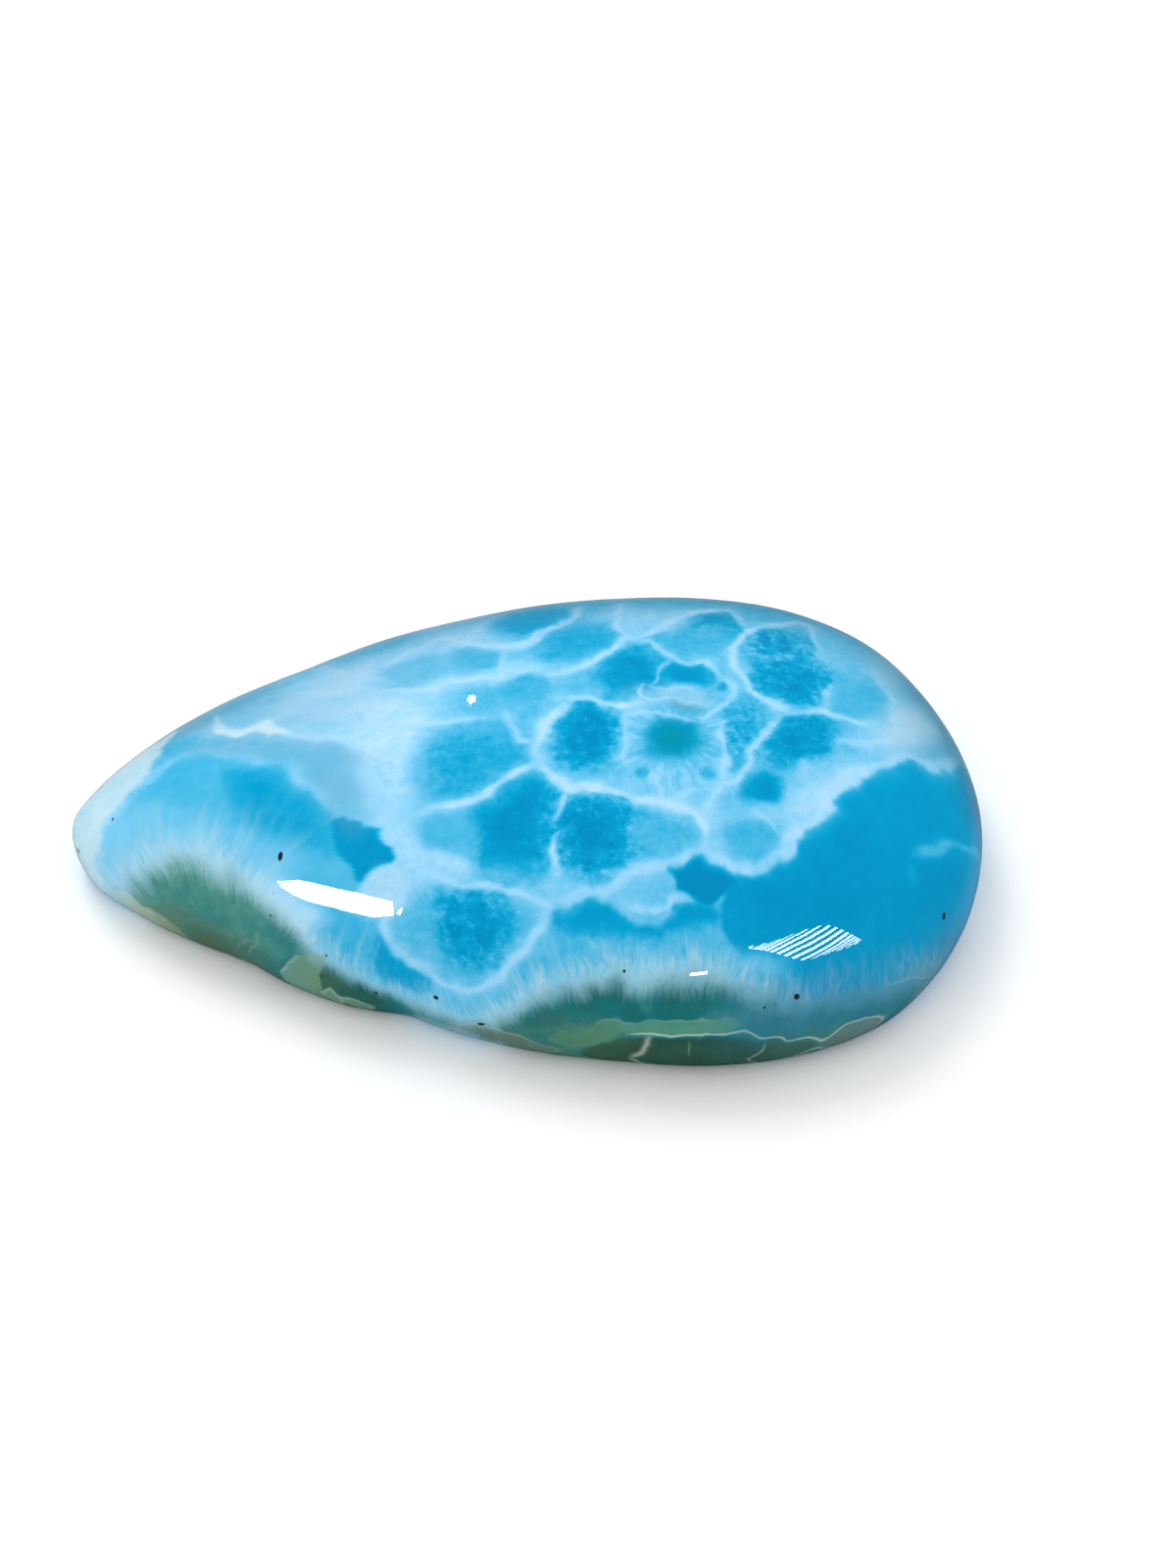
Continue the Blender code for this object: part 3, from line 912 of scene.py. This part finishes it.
def paint_green(chart):
    """The green border: depth inside it, the run along its fibrous top, and its tone."""
    top = chart.route(GREEN_TOP)
    around = np.array([(32, -6), (30, -25), (0, -30), (-30, -22), (-34, -4)])
    chosen, depth = chart.depth_inside(np.vstack([top, around]), 60)
    chart.start("green")
    chart.values["green"][chosen] = depth
    chosen, _, along, _ = chart.nearest(top, 60)
    chart.start("along_green")
    chart.values["along_green"][chosen] = along
    chart.start("tone", 0.5)
    for pixel, half_sizes, turn, tone in GREEN_TONES:
        chart.cell(pixel, half_sizes, turn, 0.5, tone=tone)
    chart.region(DARK_BASE, 0.3, tone=0.88)
    chart.start("olive")
    for pixel, half_sizes, turn, share in OLIVES:
        chart.cell(pixel, half_sizes, turn, 0.6, olive=share)
    chart.start("frost", 0.6)
    for pixel, half_sizes, turn, soft, share in FROST:
        chart.cell(pixel, half_sizes, turn, soft, frost=share)
    for name, _, _, outlines in LAYERS:
        chart.keep_depth(name, *outlines)


def paint_rays(chart):
    """Where pale rays stand over the green like folds of a curtain."""
    chart.start("rays")
    for pixel, half_sizes, turn, soft, share in RAYS:
        chart.cell(pixel, half_sizes, turn, soft, rays=share)


def paint_seams(chart):
    """Signed distance from the nearest cream seam, in its own widths, and the seam's strength there."""
    for group in range(SEAM_GROUPS):
        gaps = np.full(len(chart.places), 9.0)
        strengths = np.zeros(len(chart.places))
        nearest = np.full(len(chart.places), SEAM_REACH)
        for width, strength, pixels in SEAMS[group::SEAM_GROUPS]:
            route = chart.route(pixels)
            chosen, gap, along, side = chart.nearest(route, SEAM_REACH)
            length = np.hypot(*np.diff(route, axis=0).T).sum()
            fade = smooth_step(np.minimum(along, length - along), 0, 0.6) * smooth_step(gap, SEAM_REACH, 0.45)
            closer = gap < nearest[chosen]
            where = chosen[closer]
            nearest[where] = gap[closer]
            gaps[where] = (gap * side / width)[closer]
            strengths[where] = (strength * fade)[closer]
        chart.values[f"seam_gap_{group}"] = gaps
        chart.values[f"seam_strength_{group}"] = strengths


def paint_eye_way(chart):
    """The way from the middle of the eye, in its half sizes, for the fibres that stand round it."""
    centre = chart.place(EYE)
    across = chart.place((EYE[0] + EYE_HALF_SIZES[0], EYE[1])) - centre
    up = chart.place((EYE[0], EYE[1] - EYE_HALF_SIZES[1])) - centre
    away = (chart.places - centre) @ np.linalg.inv(np.array([across, up]))
    layer = chart.mesh.attributes.new("eye_way", "FLOAT_VECTOR", "POINT")
    layer.data.foreach_set("vector", np.hstack([away, np.zeros((len(away), 1))]).astype(np.float32).ravel())


def paint_specks(chart):
    """The way to the nearest speck, in its own radii, so that the shader can draw it sharp."""
    offsets = np.full((len(chart.places), 3), 9.0)
    for pixel, half_sizes in SPECKS:
        away = (chart.places - chart.place(pixel)) / half_sizes
        closer = np.hypot(*away.T) < np.minimum(8, np.linalg.norm(offsets, axis=1))
        closer &= chart.ground == 0
        offsets[closer, :2] = away[closer]
        offsets[closer, 2] = 0
    layer = chart.mesh.attributes.new("speck", "FLOAT_VECTOR", "POINT")
    layer.data.foreach_set("vector", offsets.astype(np.float32).ravel())


def paint_hidden(chart):
    """How far each place is out of the photograph's sight, 0 to 1, and how far it is on the ground back."""
    hidden = smooth_step(chart.beyond + 0.7 * chart_noise(chart.places, 2.0, 71), 0.8, 4.6)
    chart.values["hidden"] = hidden
    chart.values["rind"] *= 1 - hidden
    chart.values["ground"] = chart.ground
    for name, value in BACK_VALUES.items():
        chart.values[name][chart.ground > 0] = value


def paint_stone(stone, camera):
    chart = Chart(stone, camera)
    paint_blues(chart)
    paint_walls(chart)
    paint_green(chart)
    paint_rays(chart)
    paint_seams(chart)
    paint_specks(chart)
    paint_eye_way(chart)
    paint_hidden(chart)
    chart.store()
    return chart


def screen(red, green, blue):
    """A colour as it shows on a screen, 0 to 255, in the linear values that a shader takes."""
    linear = [c / 255 / 12.92 if c <= 10 else ((c / 255 + 0.055) / 1.055) ** 2.4 for c in (red, green, blue)]
    return (*linear, 1.0)


# Palettes, each from its first to its last tone
BLUES = ((0.0, (186, 226, 253)), (0.14, (154, 215, 249)), (0.30, (122, 203, 241)), (0.48, (80, 187, 229)),
         (0.64, (38, 173, 219)), (0.79, (0, 161, 210)), (1.0, (0, 140, 192)))
GREENS = ((0.0, (214, 220, 190)), (0.2, (150, 188, 170)), (0.42, (80, 146, 136)), (0.60, (20, 114, 120)),
          (0.82, (38, 84, 72)), (1.0, (28, 62, 50)))


class Palette(Bench):
    """Nodes of one material, with the stone's painted values and noises at hand."""

    def __init__(self, material):
        super().__init__(material.node_tree)
        self.places = self.add("ShaderNodeTexCoord").outputs["Object"]

    def value(self, name):
        return self.add("ShaderNodeAttribute", attribute_name=name).outputs["Fac"]

    def noise(self, size, detail=3.0, roughness=0.55, distortion=0.0, places=None):
        """Noise from -1 to 1 whose blotches are about one size across, in millimetres."""
        node = self.add("ShaderNodeTexNoise", {"Vector": self.places if places is None else places,
                                               "Scale": 1 / (size * MM), "Detail": detail, "Roughness": roughness,
                                               "Distortion": distortion})
        return self.math("MULTIPLY", self.math("SUBTRACT", node.outputs["Fac"], 0.5), 4.0)

    def ramp(self, value, stops):
        node = self.add("ShaderNodeValToRGB", {"Fac": value})
        elements = node.color_ramp.elements
        while len(elements) < len(stops):
            elements.new(0.5)
        for element, (place, colour) in zip(elements, stops):
            element.position = place
            element.color = screen(*colour)
        return node.outputs["Color"]

    def mix(self, share, first, second):
        node = self.add("ShaderNodeMix", data_type="RGBA")
        for socket, value in zip((node.inputs[0], node.inputs[6], node.inputs[7]), (share, first, second)):
            self.feed(socket, value)
        return node.outputs[2]


def hidden_network(nodes):
    """The cell network as it goes on over the sides that the photograph doesn't show."""
    bent = nodes.add("ShaderNodeTexNoise", {"Vector": nodes.places, "Scale": 260.0, "Detail": 2.0}).outputs["Color"]
    places = nodes.vector("ADD", nodes.places, nodes.vector("SCALE", bent, scale=0.0022))
    cells = nodes.add("ShaderNodeTexVoronoi", {"Vector": places, "Scale": 185.0}, feature="DISTANCE_TO_EDGE")
    inside = nodes.ease(cells.outputs["Distance"], 0.0, 0.10, 0.08, 0.55)
    inside = nodes.math("ADD", inside, nodes.ease(cells.outputs["Distance"], 0.06, 0.36, 0.0, 0.30))
    return nodes.math("ADD", inside, nodes.math("MULTIPLY", nodes.noise(9.0), 0.18))


def eye_fibres(nodes):
    """Short fibres that stand out from the pale ring round the eye."""
    away = nodes.add("ShaderNodeAttribute", attribute_name="eye_way").outputs["Vector"]
    parts = nodes.add("ShaderNodeSeparateXYZ", {0: away}).outputs
    turn = nodes.math("ARCTAN2", parts["Y"], parts["X"])
    out = nodes.vector("LENGTH", away)
    fibres = nodes.noise(1.0, detail=3.0, roughness=0.6, places=nodes.xyz(nodes.math("MULTIPLY", turn, 7.0 * MM),
                                                                           nodes.math("MULTIPLY", out, 0.8 * MM), 0.0))
    ring = nodes.math("MULTIPLY", nodes.ease(out, 1.1, 1.7), nodes.ease(out, 3.4, 2.2))
    return nodes.math("MULTIPLY", nodes.math("MULTIPLY", ring, fibres), 0.15)


def blue_part(nodes, fine):
    """How deep the blue is: painted cells and walls, with feathered edges, flecks and wisps of cloud."""
    hidden = nodes.value("hidden")
    blue = nodes.blend(hidden, nodes.value("blue"), hidden_network(nodes))
    blue = nodes.math("MULTIPLY_ADD", nodes.noise(3.5), 0.06, blue)

    # Feathers: where pale turns to deep, the border is torn into small fibres
    turning = nodes.ease(blue, 0.38, 0.66)
    turning = nodes.math("MULTIPLY", turning, nodes.ease(blue, 0.98, 0.72))
    turning = nodes.math("MULTIPLY", turning, nodes.math("ADD", nodes.value("mottle"), 0.12))
    torn = nodes.noise(0.62, detail=5.0, roughness=0.66)
    blue = nodes.math("MULTIPLY_ADD", nodes.math("MULTIPLY", turning, torn), 0.5, blue)

    patches = nodes.math("MULTIPLY", nodes.noise(0.75, detail=5.0, roughness=0.68), nodes.value("mottle"))
    blue = nodes.math("MULTIPLY_ADD", patches, 0.26, blue)
    flecks = nodes.ease(nodes.noise(0.36, detail=2.0, roughness=0.6), 0.15, 0.8)
    blue = nodes.math("MULTIPLY_ADD", nodes.math("MULTIPLY", flecks, nodes.value("mottle")), -0.22, blue)
    blue = nodes.math("MULTIPLY_ADD", eye_fibres(nodes), nodes.math("SUBTRACT", 1.0, hidden), blue)

    # Haze: faint streaks that run along the stone
    bent = nodes.vector("MULTIPLY", nodes.places, (0.25, 1.0, 0.6))
    streaks = nodes.math("MULTIPLY", nodes.noise(0.9, detail=3.0, places=bent), nodes.value("haze"))
    blue = nodes.math("MULTIPLY_ADD", streaks, 0.12, blue)

    # Cloud: thin bright threads where a stretched noise crosses its middle value
    threads = nodes.math("ABSOLUTE", nodes.noise(1.5, detail=4.0, roughness=0.6, distortion=0.9))
    threads = nodes.math("MULTIPLY", nodes.ease(threads, 0.32, 0.0), nodes.value("cloud"))
    blue = nodes.math("MULTIPLY_ADD", threads, -0.06, blue)
    blue = nodes.math("MULTIPLY_ADD", fine, 0.03, blue)

    wall = nodes.math("MULTIPLY", nodes.value("wall"), nodes.math("SUBTRACT", 1.0, hidden))
    wall = nodes.math("MULTIPLY", wall, nodes.math("MULTIPLY_ADD", fine, 0.25, 0.95))
    return nodes.blend(wall, blue, 0.04)


def band(nodes, name, share):
    """The share of a layer's colour, full inside its outline, with a crisp edge."""
    return nodes.ease(nodes.value(name), -0.06, 0.08, 0.0, share)


def with_green(nodes, colour):
    """Lays the green border over the blue, with its white fibrous fringe and its cream seams."""
    along = nodes.value("along_green")
    inside = nodes.value("green")

    def fibres(thinness, shortness, detail):
        """Noise drawn out across the border: so many times thinner and shorter than a millimetre."""
        return nodes.noise(1.0, detail=detail, places=nodes.xyz(nodes.math("MULTIPLY", along, thinness * MM),
                                                                nodes.math("MULTIPLY", inside, shortness * MM), 0.0))

    hairs = fibres(6.5, 0.8, 2.0)
    drapes = fibres(1.7, 0.25, 2.0)
    uneven = nodes.math("MULTIPLY_ADD", fibres(0.8, 0.2, 1.0), 0.2, inside)
    reach = nodes.math("MULTIPLY_ADD", hairs, 0.42, nodes.math("MULTIPLY_ADD", drapes, 0.45, uneven))
    risen = nodes.ease(reach, -1.9, 0.1)
    fringe = nodes.math("MULTIPLY", risen, nodes.math("MULTIPLY_ADD", hairs, 0.2, nodes.value("frost")))
    colour = nodes.mix(fringe, colour, screen(184, 222, 234))
    rays = nodes.math("MULTIPLY", nodes.ease(fibres(2.2, 0.08, 2.0), -0.3, 0.9), nodes.value("rays"))
    colour = nodes.mix(rays, colour, screen(160, 212, 234))
    nicks = nodes.math("MULTIPLY", nodes.ease(fibres(5.0, 2.6, 2.0), 0.35, 1.0), risen)
    colour = nodes.mix(nodes.math("MULTIPLY", nicks, 0.5), colour, screen(78, 142, 162))

    sunk = nodes.ease(nodes.math("MULTIPLY_ADD", hairs, 0.22, uneven), -0.75, 0.9)
    grain = nodes.noise(0.7, detail=4.0, roughness=0.65)
    tone = nodes.math("MULTIPLY_ADD", nodes.noise(1.6), 0.06, nodes.value("tone"))
    tone = nodes.math("MULTIPLY_ADD", hairs, 0.025, nodes.math("MULTIPLY_ADD", grain, 0.045, tone))
    green = nodes.ramp(tone, GREENS)
    for name, share, tint, _ in LAYERS[1:]:
        green = nodes.mix(band(nodes, name, share), green, screen(*tint))
    green = nodes.mix(nodes.math("MULTIPLY_ADD", grain, 0.12, nodes.value("olive")), green, screen(76, 112, 84))
    colour = nodes.mix(sunk, colour, green)
    name, share, tint, _ = LAYERS[0]
    colour = nodes.mix(band(nodes, name, share), colour, screen(*tint))

    for group in range(SEAM_GROUPS):
        gap = nodes.value(f"seam_gap_{group}")
        line = nodes.math("POWER", 2.718, nodes.math("MULTIPLY", nodes.math("MULTIPLY", gap, gap), -1.0))
        line = nodes.math("MULTIPLY", line, nodes.value(f"seam_strength_{group}"))
        colour = nodes.mix(nodes.math("MULTIPLY", line, 0.8), colour, screen(194, 214, 196))
    return colour


def larimar_finish():
    """Polished blue pectolite: pale-walled azure cells, white cloud, and green with a fibrous fringe."""
    material = bpy.data.materials.new("polished_larimar")
    material.use_nodes = True
    nodes = Palette(material)
    shader = material.node_tree.nodes["Principled BSDF"]
    fine = nodes.noise(0.55, detail=4.0, roughness=0.65)

    colour = nodes.ramp(blue_part(nodes, fine), BLUES)
    colour = nodes.mix(nodes.value("eye"), colour, screen(0, 146, 174))
    visible = nodes.math("SUBTRACT", 1.0, nodes.value("hidden"))
    colour = nodes.mix(nodes.math("MULTIPLY", nodes.value("grey"), visible), colour, screen(104, 172, 204))
    veil = nodes.math("MULTIPLY", nodes.value("veil"), nodes.math("MULTIPLY_ADD", nodes.noise(1.6), 0.3, 0.9))
    colour = nodes.mix(nodes.math("MULTIPLY", veil, visible), colour, screen(170, 208, 230))
    torn = nodes.math("MULTIPLY_ADD", nodes.noise(0.8, detail=5.0, roughness=0.65), 0.28, nodes.value("rind"))
    rind = nodes.math("MULTIPLY_ADD", nodes.noise(2.2, detail=3.0), 0.10, nodes.ease(torn, 0.10, 0.95, 0.0, 0.82))
    rind = nodes.math("MULTIPLY", rind, nodes.ease(nodes.value("rind"), 0.0, 0.15))
    colour = nodes.mix(rind, colour, screen(200, 229, 238))
    colour = with_green(nodes, colour)
    # Painted shade: the rim bands darken the colour towards a dull blue
    colour = nodes.mix(nodes.math("MULTIPLY", nodes.value("painted_rim_shade"), visible), colour, screen(56, 124, 154))

    to_speck = nodes.add("ShaderNodeAttribute", attribute_name="speck").outputs["Vector"]
    speck = nodes.math("MULTIPLY_ADD", fine, 0.15, nodes.vector("LENGTH", to_speck))
    colour = nodes.mix(nodes.ease(speck, 1.2, 0.7), colour, screen(28, 34, 38))

    nodes.feed(shader.inputs["Base Color"], colour)
    gloss = nodes.math("MULTIPLY_ADD", fine, 0.006, 0.016)
    nodes.feed(shader.inputs["Roughness"], nodes.blend(nodes.value("ground"), gloss, 0.45))
    shader.inputs["IOR"].default_value = 1.6
    return material


# The studio: how bright the room is, as light and as a reflection, and the broad light over the far left
ROOM_LIGHT = 0.94
ROOM_GLOSS = 0.045
FLOOR_WHITE = 0.98
FLOOR_GLOSS = 0.06
RIM_GLOSS = 0.30                        # of the floor close behind the stone, which its far rim reflects
KEY_PLACE = (-0.19, 0.35, 0.42)
KEY_SIZE = (0.25, 0.25)
KEY_ENERGY = 1.05

GLOSS_DISTANCE = 0.05                   # of the panels that show as glosses, in metres
# Glosses: the outline in which each shows, in pixels of the photograph, and its panel's brightness
GLOSSES = (
    (30.0, ((283, 899), (304, 898), (320, 901), (344, 907), (368, 912), (384, 916), (401, 920), (402, 934),
            (384, 936), (368, 933), (344, 927), (328, 923), (312, 919), (297, 912), (288, 906))),
    (30.0, ((405, 932), (407, 928), (411, 926), (410, 930), (407, 935))),
    (26.0, ((704, 993), (722, 991), (722, 994), (704, 996))),
    (24.0, ((476, 714), (480, 709), (485, 710), (485, 715), (480, 719))),
)
# The ridged gloss: slanting stripes between its lower and its upper edge
RIDGES = 15
RIDGE_BRIGHTNESS = 16.0
RIDGED_LOWER = ((764, 968), (780, 970), (800, 975), (820, 980), (845, 973), (865, 967), (879, 961))
RIDGED_UPPER = ((764, 966), (790, 960), (815, 951), (841, 944), (858, 948), (872, 955), (879, 959))


def area_light(name, location, target, size, energy, seen=True):
    """A rectangular light that faces its target; an unseen one lights the stone but doesn't show in its gloss."""
    light = bpy.data.lights.new(name, "AREA")
    light.shape = "RECTANGLE"
    light.size, light.size_y = size
    light.energy = energy
    lamp = bpy.data.objects.new(name, light)
    bpy.context.scene.collection.objects.link(lamp)
    lamp.location = location
    lamp.rotation_euler = (Vector(location) - Vector(target)).to_track_quat("Z", "Y").to_euler()
    lamp.visible_glossy = seen
    return lamp


def gloss_panels(chart):
    """Bright panels round the stone, each where the stone shows it as one of the photograph's glosses."""
    outlines = list(GLOSSES)
    lower, upper = smooth_route(RIDGED_LOWER), smooth_route(RIDGED_UPPER)
    for ridge in range(RIDGES):
        start = ridge / RIDGES
        quad = []
        for edge, lean, share in ((lower, -0.5, 0.0), (lower, -0.5, 0.45), (upper, 0.5, 0.45), (upper, 0.5, 0.0)):
            slant = lean * 0.28 * math.sin(math.pi * start)
            at = min(1.0, max(0.0, start + share / RIDGES + slant)) * (len(edge) - 1)
            quad.append(tuple(np.array([np.interp(at, range(len(edge)), edge[:, axis]) for axis in (0, 1)])))
        outlines.append((RIDGE_BRIGHTNESS, quad))
    for number, (brightness, outline) in enumerate(outlines):
        mesh = bpy.data.meshes.new(f"gloss_panel_{number}")
        mesh.from_pydata([chart.reflected(pixel, GLOSS_DISTANCE) for pixel in outline], [], [range(len(outline))])
        panel = bpy.data.objects.new(mesh.name, mesh)
        bpy.context.scene.collection.objects.link(panel)
        glow = bpy.data.materials.new(mesh.name)
        glow.use_nodes = True
        glow.node_tree.nodes.clear()
        bench = Bench(glow.node_tree)
        shine = bench.add("ShaderNodeEmission", {"Color": (1, 1, 1, 1), "Strength": brightness}).outputs[0]
        bench.add("ShaderNodeOutputMaterial", {"Surface": shine})
        glow.cycles.emission_sampling = "NONE"
        mesh.materials.append(glow)
        panel.visible_camera = False
        panel.visible_diffuse = False
        panel.visible_shadow = False


def studio(chart):
    """A white floor under a soft white room, with one broad light from behind on the left."""
    floor_mesh = bpy.data.meshes.new("floor")
    floor_mesh.from_pydata([(-2, -2, 0), (2, -2, 0), (2, 2, 0), (-2, 2, 0)], [], [(0, 1, 2, 3)])
    floor = bpy.data.objects.new("floor", floor_mesh)
    bpy.context.scene.collection.objects.link(floor)
    paint = bpy.data.materials.new("pale_floor")
    paint.use_nodes = True
    cover = paint.node_tree.nodes["Principled BSDF"]
    desk = Bench(paint.node_tree)
    away = desk.vector("ADD", desk.add("ShaderNodeTexCoord").outputs["Object"], (0.008, 0.0, 0.0))
    away = desk.vector("MULTIPLY", away, (0.64, 1.0, 0.0))
    close = desk.ease(desk.vector("LENGTH", away), 0.036, 0.016, FLOOR_GLOSS, RIM_GLOSS)
    behind = desk.ease(desk.add("ShaderNodeSeparateXYZ", {0: away}).outputs["Y"], -0.016, -0.004)
    gloss = desk.blend(behind, FLOOR_GLOSS, close)
    white = desk.blend(desk.add("ShaderNodeLightPath").outputs["Is Glossy Ray"], FLOOR_WHITE, gloss)
    desk.feed(cover.inputs["Base Color"], desk.xyz(white, white, white))
    cover.inputs["Roughness"].default_value = 0.9
    cover.inputs["Specular IOR Level"].default_value = 0.0
    floor_mesh.materials.append(paint)

    world = bpy.data.worlds.new("studio")
    bpy.context.scene.world = world
    world.use_nodes = True
    bench = Bench(world.node_tree)
    glossy = bench.add("ShaderNodeLightPath").outputs["Is Glossy Ray"]
    backdrop = world.node_tree.nodes["Background"]
    bench.feed(backdrop.inputs["Color"], (1, 1, 1, 1))
    bench.feed(backdrop.inputs["Strength"], bench.blend(glossy, ROOM_LIGHT, ROOM_GLOSS))
    area_light("key", KEY_PLACE, (0, 0, 0), KEY_SIZE, KEY_ENERGY, seen=False)
    gloss_panels(chart)
    bpy.context.scene.view_settings.view_transform = "Standard"


form = read_form(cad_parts["larimar_cabochon"])
camera = photo_camera()
stone = polished_stone(form, larimar_finish())
studio(paint_stone(stone, camera))

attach(stone, "root")
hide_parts("larimar_cabochon")
